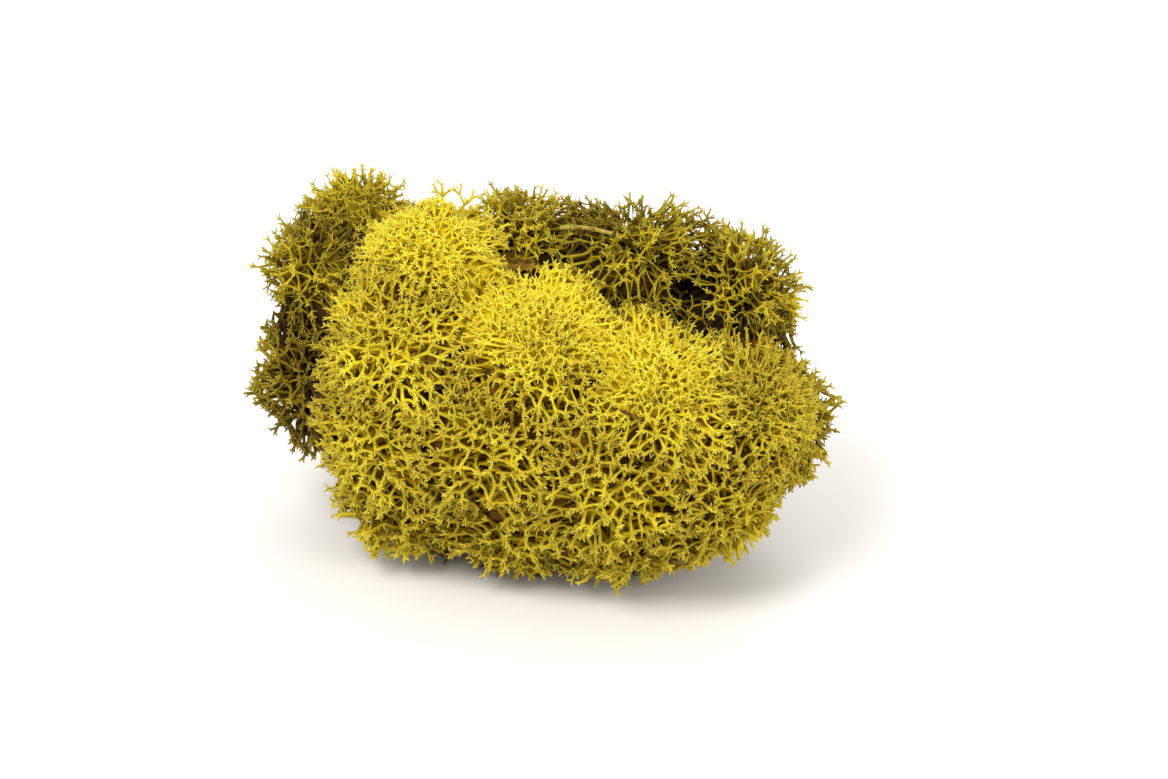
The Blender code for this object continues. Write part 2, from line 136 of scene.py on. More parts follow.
headNames = list(heads)
centres = np.array([heads[name]["at"] for name in headNames]) + stand
radii = np.array([heads[name]["radius"] for name in headNames])
fillCentres = np.array([place for place, _ in fillings]) + stand
fillRadii = np.array([radius for _, radius in fillings])


def unit(vectors):
    return vectors / np.maximum(np.linalg.norm(vectors, axis=-1, keepdims=True), 1e-9)


def smoothStep(low, high, value):
    share = np.clip((value - low) / (high - low), 0.0, 1.0)
    return share * share * (3.0 - 2.0 * share)


def waves(points, wavelength, seed, count=10):
    # smooth bumps between about -1 and 1 that run through the whole clump
    rng = np.random.default_rng(seed)
    pushes = unit(rng.normal(size=(count, 3))) * math.tau / wavelength * rng.uniform(0.75, 1.3, (count, 1))
    return np.sin(points @ pushes.T + rng.uniform(0.0, math.tau, count)).sum(axis=-1) / math.sqrt(count * 0.5)


def headGaps(points):
    return np.linalg.norm(points[:, None] - centres[None], axis=2) - radii


def skinDistance(points, blend=4.0, loss=1.1):
    # how far points lie outside the heads' common rounded skin
    fills = np.linalg.norm(points[:, None] - fillCentres[None], axis=2) - fillRadii
    gaps = np.concatenate([headGaps(points), fills], axis=1) + loss
    nearest = gaps.min(axis=1)
    return nearest - blend * np.log(np.exp(-(gaps - nearest[:, None]) / blend).sum(axis=1))


def skinReach(index, headings):
    # how far a head's skin lies from its middle, with the small cushions that break it up
    reach = np.full(len(headings), radii[index])
    for _ in range(9):
        reach = np.clip(reach - 0.7 * skinDistance(centres[index] + headings * reach[:, None]),
                        0.8 * radii[index], 1.5 * radii[index])
    lump = mossStyles[heads[headNames[index]]["style"]]["lump"]
    return reach + lump * cushions(centres[index] + headings * radii[index])


def stretch(index, headings):
    # how much larger the skin is than the head's round ball, where it stands off or turns away
    reach = skinReach(index, headings)
    skin = centres[index] + headings * reach[:, None]
    here = skinDistance(skin)
    slope = unit(np.stack([skinDistance(skin + step) - here for step in np.eye(3) * 0.4], axis=1))
    return (reach / radii[index]) ** 2 / np.clip((slope * headings).sum(axis=1), 0.4, 1.0)


def cushions(points):
    # rounded cushions with creases between them, in mm
    return np.clip(2.0 * np.abs(waves(points, 10.0, 5)) + 0.5 * waves(points, 5.0, 6) - 2.0, -2.8, 0.6)


def walls(index):
    # the way to each other head, and how far off the wall between the two rooms is
    across = centres - centres[index]
    length = np.linalg.norm(across, axis=1)
    others = length > 0.0
    off = (length[others] ** 2 + radii[index] ** 2 - radii[others] ** 2) / (2.0 * length[others])
    return across[others] / length[others, None], off


def pastWall(points, index):
    # how far points lie past the nearest wall
    ways, off = walls(index)
    return ((points - centres[index]) @ ways.T - off).max(axis=1)


def wallReach(index, headings):
    # how far a heading leads before it meets a wall
    ways, off = walls(index)
    along = headings @ ways.T
    return np.where(along > 1e-3, off / np.maximum(along, 1e-3), 1e3).min(axis=1)


# The mound of dead stalks: its lobes (middle and half sizes) and how rough they are, the stubs all over it,
# the stalks in the gaps between the heads, which end at a depth below the skin, and the ring of stalks at its
# foot. Lengths are in mm.
mound = {
    "lobes": (((-0.5, 0.0, 14.0), (31.0, 12.5, 18.0)), ((-23.0, 0.0, 26.0), (13.0, 10.0, 18.5)),
              ((-1.0, 1.5, 24.0), (16.0, 10.0, 17.0)), ((21.0, 1.0, 22.0), (15.0, 10.0, 15.0))),
    "rough": (0.045, 0.03),
    "stubs": 700,
    "stubLength": (1.2, 3.4),
    "stalks": 200,
    "stalkDepth": (4.6, 9.0),
    "stalkRadius": 0.42,
    "forkRadius": 0.7,      # as a share of the stalk's
    "footStalks": 76,
    "footLength": (3.0, 7.0),
    "footHeight": (1.2, 4.2),
}
lobeCentres = np.array([lobe[0] for lobe in mound["lobes"]]) + stand
lobeSizes = np.array([lobe[1] for lobe in mound["lobes"]])


def moundDistance(points):
    # rough distance outside the mound
    return ((np.linalg.norm((points[:, None] - lobeCentres[None]) / lobeSizes, axis=2) - 1.0)
            * lobeSizes.min(axis=1)).min(axis=1)


def openShare(points):
    # the share of directions in which the open air is seen from each point
    sky = evenHeadings(30, np.random.default_rng(2), 0.0)
    seen = np.zeros(len(points))
    for heading in sky:
        free = np.ones(len(points), bool)
        for step in (2.0, 4.5, 7.5, 11.0, 15.0, 20.0, 27.0):
            ahead = points + heading * step
            free &= (headGaps(ahead).min(axis=1) > -1.0) & (moundDistance(ahead) > 0.0) & (ahead[:, 2] > 0.0)
        seen += free
    return seen / len(sky)


# How points are marked: branches, prongs with the hidden branches, which have few sides, and packed middles
branchMark, prongMark, middleMark = 0.0, 1.0, 2.0
prongSides = 3


class Bundle:
    # the paths of one piece's branches and its solid middle, with how thick, old and bright each point is
    def __init__(self):
        self.points, self.edges, self.faces = [], [], []
        self.values = {"radius": [], "age": [], "tone": [], "kind": [], "around": []}
        self.total = 0

    def put(self, points, **values):
        self.points.append(points)
        for key, store in self.values.items():
            store.append(np.broadcast_to(values.get(key, 0.0), len(points)).astype(np.float32))
        self.total += len(points)

    def paths(self, lines, radius, age, tone, prong=False):
        # lines: paths x points x 3; the others fit paths x points
        many, steps = lines.shape[:2]
        if not many:
            return
        index = np.arange(many * steps).reshape(many, steps) + self.total
        self.edges.append(np.stack([index[:, :-1].ravel(), index[:, 1:].ravel()], axis=1))
        spread = {key: np.broadcast_to(value, (many, steps)).ravel()
                  for key, value in (("radius", radius), ("age", age), ("tone", tone))}
        self.put(lines.reshape(-1, 3), kind=prongMark if prong else branchMark, **spread)

    def solid(self, points, faces, age, tone):
        self.faces.append(faces + self.total)
        turn = np.linspace(0.0, 1.0, len(points)) * 57.0 % 1.0
        self.put(points, age=age, tone=tone, kind=middleMark, around=turn)

    def mesh(self, name):
        made = bpy.data.meshes.new(name)
        points = np.concatenate(self.points) * mm
        edges = np.concatenate(self.edges)
        faces = np.concatenate(self.faces) if self.faces else np.zeros((0, 3), int)
        made.vertices.add(len(points))
        made.vertices.foreach_set("co", points.astype(np.float32).ravel())
        made.edges.add(len(edges))
        made.edges.foreach_set("vertices", edges.astype(np.int32).ravel())
        made.loops.add(len(faces) * 3)
        made.loops.foreach_set("vertex_index", faces.astype(np.int32).ravel())
        made.polygons.add(len(faces))
        made.polygons.foreach_set("loop_start", np.arange(0, len(faces) * 3, 3, dtype=np.int32))
        for key, store in self.values.items():
            made.attributes.new(key, "FLOAT", "POINT").data.foreach_set("value", np.concatenate(store))
        made.update(calc_edges=True)
        return made


class Graph:
    # a node tree, with one method that adds any node to it
    def __init__(self, tree):
        self.tree = tree

    def add(self, kind, settings=None, sockets=None, out=0):
        node = self.tree.nodes.new(kind)
        for key, value in (settings or {}).items():
            if key == "stops":
                self.fillRamp(node.color_ramp, value)
            else:
                setattr(node, key, value)
        for key, value in (sockets or {}).items():
            self.feed(node.inputs[key], value)
        return Value(self, node.outputs[out])

    def feed(self, socket, value):
        if isinstance(value, Value):
            self.tree.links.new(value.socket, socket)
        else:
            socket.default_value = value

    def fillRamp(self, ramp, stops):
        while len(ramp.elements) < len(stops):
            ramp.elements.new(0.5)
        for element, (place, colour) in zip(ramp.elements, stops):
            element.position = place
            element.color = (*colour, 1.0)


class Value:
    # a socket that can be used in sums
    def __init__(self, graph, socket):
        self.graph, self.socket = graph, socket

    def maths(self, operation, *values):
        return self.graph.add("ShaderNodeMath", {"operation": operation}, dict(enumerate(values)))

    def __add__(self, other):
        return self.maths("ADD", self, other)

    def __mul__(self, other):
        return self.maths("MULTIPLY", self, other)

    def __gt__(self, other):
        return self.maths("GREATER_THAN", self, other)

    def sine(self):
        return self.maths("SINE", self)

    def cosine(self):
        return self.maths("COSINE", self)

    __radd__ = __add__
    __rmul__ = __mul__


def sweepTree():
    # sweeps every path into a tapered branch and stores age and tone as its UV map
    tree = bpy.data.node_groups.new("branchSweep", "GeometryNodeTree")
    sockets = {"Geometry": "Geometry", "Branch Sides": "Int", "Prong Sides": "Int", "Finish": "Material"}
    for name, kind in sockets.items():
        tree.interface.new_socket(name, in_out="INPUT", socket_type="NodeSocket" + kind)
    tree.interface.new_socket("Geometry", in_out="OUTPUT", socket_type="NodeSocketGeometry")
    graph = Graph(tree)
    given = tree.nodes.new("NodeGroupInput")
    asked = {name: Value(graph, given.outputs[name]) for name in sockets}

    def named(name):
        return graph.add("GeometryNodeInputNamedAttribute", {"data_type": "FLOAT"}, {"Name": name},
                         "Attribute")

    def sweep(lines, sides):
        ring = graph.add("GeometryNodeCurvePrimitiveCircle", {}, {"Resolution": sides, "Radius": 1.0},
                         "Curve")
        turn = graph.add("GeometryNodeSplineParameter", {}, {}, "Factor")
        ring = graph.add("GeometryNodeStoreNamedAttribute", {"data_type": "FLOAT", "domain": "POINT"},
                         {"Geometry": ring, "Name": "turn", "Value": turn})
        curve = graph.add("GeometryNodeMeshToCurve", {}, {"Mesh": lines})
        sockets = {"Curve": curve, "Profile Curve": ring, "Fill Caps": True, "Scale": named("radius") * mm}
        return graph.add("GeometryNodeCurveToMesh", {}, sockets)

    bodyCut = tree.nodes.new("GeometryNodeSeparateGeometry")
    prongCut = tree.nodes.new("GeometryNodeSeparateGeometry")
    for cut, mark, source in ((bodyCut, middleMark, asked["Geometry"]),
                              (prongCut, prongMark, Value(graph, bodyCut.outputs["Inverted"]))):
        cut.domain = "POINT"
        graph.feed(cut.inputs["Geometry"], source)
        graph.feed(cut.inputs["Selection"], named("kind") > mark - 0.5)
    prongs = sweep(Value(graph, prongCut.outputs["Selection"]), asked["Prong Sides"])
    branches = sweep(Value(graph, prongCut.outputs["Inverted"]), asked["Branch Sides"])
    joined = tree.nodes.new("GeometryNodeJoinGeometry")
    for part in (branches, prongs, Value(graph, bodyCut.outputs["Selection"])):
        tree.links.new(part.socket, joined.inputs["Geometry"])
    turn = (named("turn") + named("around")) * math.tau
    age = named("age") * 0.96 + 0.02 + turn.cosine() * 0.008
    tone = named("tone") * 0.9 + 0.05 + turn.sine() * 0.03
    place = graph.add("ShaderNodeCombineXYZ", {}, {"X": age, "Y": tone})
    mapped = graph.add("GeometryNodeStoreNamedAttribute", {"data_type": "FLOAT2", "domain": "CORNER"},
                       {"Geometry": Value(graph, joined.outputs[0]), "Name": "OFBake", "Value": place})
    smooth = graph.add("GeometryNodeSetShadeSmooth", {}, {"Geometry": mapped})
    real = graph.add("GeometryNodeRealizeInstances", {}, {"Geometry": smooth})
    painted = graph.add("GeometryNodeSetMaterial", {}, {"Geometry": real, "Material": asked["Finish"]})
    output = tree.nodes.new("NodeGroupOutput")
    graph.feed(output.inputs["Geometry"], painted)
    return tree


def applied(made):
    # the plain mesh of an object's modifiers, which are then removed
    bpy.context.view_layer.update()
    mesh = bpy.data.meshes.new_from_object(made.evaluated_get(bpy.context.evaluated_depsgraph_get()))
    made.modifiers.clear()
    old = made.data
    made.data = mesh
    mesh.name = made.name
    bpy.data.meshes.remove(old)
    return made


def sweptPiece(bundle, name, finish, branchSides):
    made = bpy.data.objects.new(name, bundle.mesh(name))
    bpy.context.scene.collection.objects.link(made)
    sweep = made.modifiers.new("branches", "NODES")
    sweep.node_group = branchSweep
    wanted = {"Branch Sides": branchSides, "Prong Sides": prongSides, "Finish": finish}
    for item in branchSweep.interface.items_tree:
        if item.in_out == "INPUT" and item.name in wanted:
            sweep[item.identifier] = wanted[item.name]
    applied(made)
    for key in ("radius", "age", "tone", "kind", "around", "turn"):
        if key in made.data.attributes:
            made.data.attributes.remove(made.data.attributes[key])
    return made


def mossFinish(name, bright, dull, roughness):
    # colour by age, from tip to base, between a bright and a dull row of colours by tone
    material = bpy.data.materials.new(name)
    material.use_nodes = True
    graph = Graph(material.node_tree)
    shader = material.node_tree.nodes["Principled BSDF"]
    place = graph.add("ShaderNodeUVMap", {"uv_map": "OFBake"})
    age = graph.add("ShaderNodeSeparateXYZ", {}, {"Vector": place}, "X")
    tone = Value(graph, age.socket.node.outputs["Y"])
    brightRow = graph.add("ShaderNodeValToRGB", {"stops": bright}, {"Fac": age}, "Color")
    dullRow = graph.add("ShaderNodeValToRGB", {"stops": dull}, {"Fac": age}, "Color")
    colour = graph.add("ShaderNodeMix", {"data_type": "RGBA"}, {"Factor": tone, 6: dullRow, 7: brightRow}, 2)
    graph.feed(shader.inputs["Base Color"], colour)
    graph.feed(shader.inputs["Roughness"], roughness + age * 0.12)
    shader.inputs["Specular IOR Level"].default_value = 0.1
    return material


# Each row: how old (0 tip, 1 base), and the linear colour there
brightYellow = ((0.0, (0.86, 0.755, 0.085)), (0.14, (0.82, 0.70, 0.050)), (0.30, (0.79, 0.65, 0.026)),
                (0.50, (0.80, 0.63, 0.011)), (0.66, (0.70, 0.51, 0.006)), (0.88, (0.36, 0.195, 0.009)),
                (1.0, (0.14, 0.062, 0.007)))
dullYellow = ((0.0, (0.57, 0.465, 0.050)), (0.14, (0.47, 0.365, 0.029)), (0.30, (0.38, 0.280, 0.016)),
              (0.50, (0.33, 0.230, 0.008)), (0.66, (0.28, 0.176, 0.005)), (0.88, (0.18, 0.092, 0.006)),
              (1.0, (0.085, 0.036, 0.005)))
# The olive rows, for the back and side heads: their own olive colour, made darker in part as painted shade
brightOlive = ((0.0, (0.83, 0.71, 0.075)), (0.14, (0.76, 0.62, 0.036)), (0.40, (0.57, 0.43, 0.012)),
               (0.66, (0.31, 0.205, 0.004)), (0.86, (0.10, 0.054, 0.002)), (1.0, (0.030, 0.014, 0.001)))
dullOlive = ((0.0, (0.31, 0.24, 0.028)), (0.14, (0.205, 0.148, 0.011)), (0.40, (0.120, 0.078, 0.005)),
             (0.66, (0.072, 0.040, 0.003)), (0.86, (0.035, 0.017, 0.002)), (1.0, (0.014, 0.007, 0.001)))
deadBrown = ((0.0, (0.34, 0.23, 0.075)), (0.3, (0.22, 0.135, 0.035)), (0.65, (0.11, 0.062, 0.014)),
             (1.0, (0.03, 0.016, 0.005)))
deadDark = ((0.0, (0.15, 0.092, 0.028)), (0.3, (0.09, 0.052, 0.014)), (0.65, (0.045, 0.025, 0.007)),
            (1.0, (0.016, 0.009, 0.004)))
strawPale = ((0.0, (0.52, 0.43, 0.11)), (0.4, (0.41, 0.33, 0.065)), (0.75, (0.30, 0.22, 0.040)),
             (1.0, (0.70, 0.44, 0.18)))
strawDull = ((0.0, (0.33, 0.26, 0.065)), (0.4, (0.25, 0.19, 0.036)), (0.75, (0.16, 0.11, 0.022)),
             (1.0, (0.44, 0.25, 0.10)))
barkPale = ((0.0, (0.42, 0.290, 0.036)), (0.4, (0.25, 0.145, 0.018)), (0.75, (0.13, 0.062, 0.010)),
            (1.0, (0.05, 0.025, 0.006)))
barkDull = ((0.0, (0.22, 0.124, 0.026)), (0.4, (0.14, 0.072, 0.012)), (0.75, (0.07, 0.034, 0.006)),
            (1.0, (0.03, 0.015, 0.004)))


def evenHeadings(count, rng, shake):
    # headings spread evenly over a sphere, shaken by a share of their spacing
    step = np.arange(count)
    height = 1.0 - (2.0 * step + 1.0) / count
    flat = np.sqrt(1.0 - height ** 2)
    turn = rng.uniform(0.0, math.tau) + step * golden
    spread = np.stack([flat * np.cos(turn), flat * np.sin(turn), height], axis=1)
    tilt = np.linalg.qr(rng.normal(size=(3, 3)))[0]
    return unit(spread @ tilt + rng.normal(size=(count, 3)) * shake * math.sqrt(4.0 * math.pi / count))


def cellNet(headings):
    # the corners and the rims of the cells round the headings, as on a foam
    bm = bmesh.new()
    for heading in headings:
        bm.verts.new(heading)
    bmesh.ops.convex_hull(bm, input=bm.verts[:])
    bm.normal_update()
    bm.faces.index_update()
    corners = np.array([face.normal for face in bm.faces])
    middles = np.array([face.calc_center_median() for face in bm.faces])
    corners *= np.sign((corners * middles).sum(axis=1, keepdims=True))
    rims = np.array([[face.index for face in edge.link_faces] for edge in bm.edges
                     if len(edge.link_faces) == 2])
    bm.free()
    return unit(corners), rims


def crossways(headings, rng):
    # two headings square to each, turned at random
    first = unit(np.cross(headings, rng.normal(size=headings.shape)))
    return first, np.cross(headings, first)


def splay(headings, count, low, high, rng):
    # count headings round each, leaning away from it by low to high degrees
    first, second = crossways(headings, rng)
    turn = (np.arange(count) + rng.uniform(-0.3, 0.3, (len(headings), count))) * math.tau / count
    lean = np.radians(rng.uniform(low, high, (len(headings), count)))
    side = first[:, None] * np.cos(turn)[..., None] + second[:, None] * np.sin(turn)[..., None]
    return headings[:, None] * np.cos(lean)[..., None] + side * np.sin(lean)[..., None]


def bowed(start, end, startPush, endPush, steps):
    # paths from start to end that leave along startPush and arrive along endPush
    t = np.linspace(0.0, 1.0, steps)[None, :, None]
    start, end, startPush, endPush = (part[:, None] for part in (start, end, startPush, endPush))
    return ((2 * t**3 - 3 * t**2 + 1) * start + (t**3 - 2 * t**2 + t) * startPush
            + (3 * t**2 - 2 * t**3) * end + (t**3 - t**2) * endPush)


def column(values):
    return np.asarray(values)[:, None]


def growProngs(bundle, starts, headings, length, radius, age, tone, rng):
    # short blunt tips
    many = len(starts)
    ends = starts + unit(headings + rng.normal(size=(many, 3)) * 0.12) * column(rng.uniform(*length, many))
    ends[:, 2] = np.maximum(ends[:, 2], tipFloor)
    thick = np.reshape(radius, (-1, 1)) * rng.uniform(0.85, 1.15, (many, 1)) * np.array([1.1, 0.58])
    bundle.paths(np.stack([starts, ends], axis=1), thick, column(age) * np.array([1.0, 0.0]), column(tone),
                 prong=True)


def growForks(bundle, starts, headings, plan, thick, tone, rng):
    # branches that fork again and again and end in prongs; each row of the plan: length, spread, fan, age
    for length, spread, fan, age in plan["forks"]:
        push = headings * rng.uniform(*length, (len(starts), 1))
        ends = starts + push
        ends[:, 2] = np.maximum(ends[:, 2], forkFloor)
        steps = plan["steps"]
        bundle.paths(bowed(starts, ends, push, push + rng.normal(size=push.shape) * 0.3, steps),
                     thick * np.linspace(1.25, 1.0, steps), np.linspace(*age, steps), column(tone))
        headings = splay(unit(push), fan, *spread, rng).reshape(-1, 3)
        starts, tone = np.repeat(ends, fan, 0), np.repeat(tone, fan)
        thick = np.repeat(thick, fan, 0) * 0.88
    growProngs(bundle, starts, headings, plan["prongLength"], thick * plan["prongShare"],
               np.full(len(starts), age[1]), tone, rng)


def between(pair, share):
    return pair[0] + (pair[1] - pair[0]) * share


def prongReach(style, weave):
    # the shortest and the longest prong, by how open the weave is
    return [between(ends, weave) for ends in zip(*style["prongLength"])]


def weaveAt(index, points):
    # how open the weave is: by height on the head, with patches
    top, foot = heads[headNames[index]]["weave"]
    height = (points[:, 2] - centres[index][2]) / radii[index]
    patches = 0.16 * waves(points, 13.0, 21)
    return np.clip(between((foot, top), smoothStep(-0.6, 0.7, height)) + patches, 0.0, 1.0)


def toneAt(own, points):
    # a head's tone, which drifts from its front to its back, where it is duller partly as painted shade, and
    # dulls towards its foot
    height = (points[:, 2] - own["at"][2]) / own["radius"]
    toneWithBackShade = between(own["tone"], smoothStep(-7.0, 5.0, points[:, 1] - stand[1]))
    return toneWithBackShade * between((0.5, 1.0), smoothStep(-0.8, 0.5, height))


def gapTo(place, points):
    # how far points lie from a place of the layout
    return np.linalg.norm(points - np.array(place) - stand, axis=1)


def paintedHollowShade(points):
    # painted shade: 1 in and round the dark hollows, 0 well away from them
    return np.max([1.0 - smoothStep(radius + hollowShadeFade[0], radius + hollowShadeFade[1], gapTo(place, points))
                   for place, radius in hollows], axis=0)


def creases(points):
    # 1 in the crease between two heads, 0 well inside a head's own room
    ranked = np.sort(headGaps(points), axis=1)
    return 1.0 - smoothStep(0.3, 4.5, ranked[:, 1] - ranked[:, 0])


# How much a branch's tone follows cushions, darker in their creases as painted shade, wide and narrow
# patches, chance, painted shade where little open air is seen, and painted shade in the creases between heads
toneShares = {"cushion": 0.07, "wide": 0.13, "narrow": 0.08, "chance": 0.06, "shade": 0.3, "crease": 0.24}

# How old a head's branches are, 0 at a tip and 1 at a base: the least and the most, or the ages along one.
# A rim is older in its middle. The inner net and the thatch are older where the weave is open.
ages = {"rimEnd": 0.27, "rimMore": 0.10, "rimShake": 0.055, "peakProng": (0.16, 0.3), "rimProng": (0.2, 0.32),
        "arm": (0.28, 0.18), "innerNet": (0.40, 0.66), "spoke": (0.9, 0.62), "link": (0.58, 0.42, 0.28),
        "thatch": (0.42, 0.74), "thatchShake": 0.09}

# How an antler forks: each row has its branches' length, how far they lean apart, how many, and their age
antlerPlan = {"forks": (((0.8, 1.5), (16.0, 42.0), 2, (0.36, 0.30)),
                        ((0.6, 1.1), (20.0, 55.0), 2, (0.30, 0.20))),
              "steps": 3, "prongShare": 0.85, "prongLength": (0.5, 1.0)}
tallPlan = {"forks": (((1.5, 2.0), (38.0, 62.0), 3, (0.56, 0.44)),
                      ((1.3, 2.0), (28.0, 52.0), 2, (0.44, 0.32)),
                      ((0.8, 1.3), (20.0, 50.0), 2, (0.32, 0.20))),
            "steps": 3, "prongShare": 0.95, "prongLength": (0.5, 0.9), "thick": 0.235, "tone": 0.40}

# Where tall forks grow on a head, and their headings
tallForks = {
    "head_crown_left": (((-18.3, -4.4, 62.4), (0.0, 0.2, 1.0)), ((-15.2, -4.4, 61.4), (0.45, 0.1, 1.0))),
    "head_back_far_right": (((27.0, -0.5, 43.5), (-0.6, -0.3, 1.0)),
                            ((30.5, -2.5, 42.5), (-0.1, -0.3, 1.0)), ((23.0, 0.5, 43.5), (0.3, -0.3, 1.0)),
                            ((27.5, -4.0, 40.5), (-0.3, -0.1, 1.0)),
                            ((30.5, 0.5, 47.0), (-1.0, -0.4, 0.3)), ((22.0, -2.5, 41.0), (0.4, 0.0, 1.0))),
}


def growHead(name, rng):
    own = heads[name]
    style = mossStyles[own["style"]]
    index = headNames.index(name)
    centre, radius = centres[index], radii[index]
    bundle = Bundle()
    segments = style["segments"]

    def shell(cell, shake, depth, wander):
        # a net of cells at a depth below the skin: which way its corners face, its rims, the corners
        # themselves, which of them are kept, and their tone and weave
        cellArea = 0.866 * cell[0] ** 2     # of a hexagon that is cell[0] wide
        headings = evenHeadings(int(4.0 * math.pi * radius**2 / cellArea), rng, shake)
        local = between(cell, weaveAt(index, centre + headings * radius)) / np.sqrt(stretch(index, headings))
        headings, rims = cellNet(headings[rng.random(len(headings)) < (cell[0] / local) ** 2])
        reach = skinReach(index, headings)
        skin = centre + headings * reach[:, None]
        weave, sky = weaveAt(index, skin), openShare(skin)
        points = skin - headings * (between(depth, weave) + rng.normal(size=len(reach)) * wander)[:, None]
        kept = (pastWall(points, index) < 0.9) & (moundDistance(points) > -0.6)
        kept &= (points[:, 2] > netFloor) & (sky > 0.0)
        # painted shade: the cushion term darkens the creases between the cushions
        tone = toneAt(own, skin) + toneShares["cushion"] * cushions(skin)
        tone = tone + toneShares["wide"] * waves(points, 16.0, 8)
        tone = tone + toneShares["narrow"] * waves(points, 5.0, 9)
        tone = tone + rng.normal(size=len(points)) * toneShares["chance"]
        # painted shade: duller where little open air is seen, and in the creases between heads
        tone = tone - toneShares["shade"] * (1.0 - smoothStep(0.0, 0.25, sky))
        tone = np.clip(tone - toneShares["crease"] * creases(skin), 0.0, 1.0)
        for place, clear in clearings:
            kept &= gapTo(place, points) > clear
        return headings, rims, points, kept, tone, weave

    def prongs(starts, ups, low, high, weave, age, tone):
        show = rng.random(len(starts)) < between(style["prongShow"], weave)
        headings = splay(ups[show], 1, low, high, rng)[:, 0]
        thick = between(style["prongRadius"], weave[show])
        growProngs(bundle, starts[show], headings, prongReach(style, weave[show]), thick,
                   rng.uniform(*age, show.sum()), tone[show], rng)

    # outer net: peaks at the cells' corners, rims that sag between them
    up, rims, peaks, kept, tone, weave = shell(style["cell"], 0.24, style["depth"], 0.26)
    kept &= waves(peaks, 8.0, 12) < style["pits"] + 1.2 * (1.0 - weave) - 0.7 * creases(peaks)
    rims = rims[kept[rims].any(axis=1)]
    rims = np.where(kept[rims[:, :1]], rims, rims[:, ::-1])
    whole = kept[rims].all(axis=1)
    a, b = peaks[rims[:, 0]], peaks[rims[:, 1]]
    out = unit(up[rims[:, 0]] + up[rims[:, 1]])
    span = np.linalg.norm(b - a, axis=1, keepdims=True)
    shake = rng.normal(size=a.shape) * 0.16 * span
    dip = -out * style["sag"] * span * 2.2
    lines = bowed(a, b, (b - a) + dip + shake, (b - a) - dip + shake, segments + 1)
    t = np.abs(np.linspace(-1.0, 1.0, segments + 1))
    rimWeave = (weave[rims[:, 0]] + weave[rims[:, 1]]) / 2.0
    thick = between(style["rim"], rimWeave) * rng.uniform(0.85, 1.2, len(a))
    flare = column(thick) * (1.0 + 0.6 * t**1.6)
    age = ages["rimEnd"] + ages["rimMore"] * (1.0 - t) + rng.normal(size=(len(a), 1)) * ages["rimShake"]
    rimTone = (tone[rims[:, 0]] + tone[rims[:, 1]]) / 2.0
    bundle.paths(lines[whole], flare[whole], age[whole], column(rimTone[whole]))
    # a rim that leads out of this head's room ends half way, as a loose branch
    half = segments // 2 + 1
    loose = ~whole & (rng.random(len(a)) < 0.6)
    bundle.paths(lines[loose][:, :half], flare[loose][:, :half] * np.linspace(1.0, 0.6, half),
                 age[loose][:, :half], column(rimTone[loose]))

    # prongs on the peaks and along the rims
    top, topUp, topTone, topWeave = peaks[kept], up[kept], tone[kept], weave[kept]
    few, most = style["prongs"]
    near, far = style["prongSpread"]
    for turn in range(most):
        pick = rng.random(len(top)) < np.clip(between((few, most), topWeave) - turn, 0.0, 1.0)
        prongs(top[pick], topUp[pick], near, far, topWeave[pick], ages["peakProng"], topTone[pick])
    share = between(style["rimProngs"], rimWeave)
    rounds = math.ceil(max(style["rimProngs"]))
    for _ in range(rounds):
        pick = np.flatnonzero(whole & (rng.random(len(whole)) < share / rounds))
        at = rng.integers(1, segments, len(pick))
        prongs(lines[pick, at], out[pick], 5.0, 60.0, rimWeave[pick], ages["rimProng"], rimTone[pick])

    # arms on the peaks fork into prongs of their own, and a few antlers stand proud
    rim = column(between(style["rim"], topWeave))
    share = rng.random(len(top))
    pick = share < between(style["arms"], topWeave)
    plan = {"forks": ((style["armLength"], (22.0, 62.0), 3, ages["arm"]),), "steps": 2, "prongShare": 1.05,
            "prongLength": style["prongLength"][0]}
    headings = splay(topUp[pick], 1, 0.0, 32.0, rng)[:, 0]
    growForks(bundle, top[pick], headings, plan, rim[pick], topTone[pick], rng)
    pick = (share > 1.0 - style["antlers"]) & (topWeave > 0.12)
    headings = splay(topUp[pick], 1, 5.0, 45.0, rng)[:, 0]
    growForks(bundle, top[pick], headings, antlerPlan, rim[pick] * 1.15, topTone[pick], rng)
    for place, heading in tallForks.get(name, ()):
        growForks(bundle, np.array([place]) + stand, unit(np.array([heading])), tallPlan,
                  np.array([[tallPlan["thick"]]]), np.array([tallPlan["tone"]]), rng)

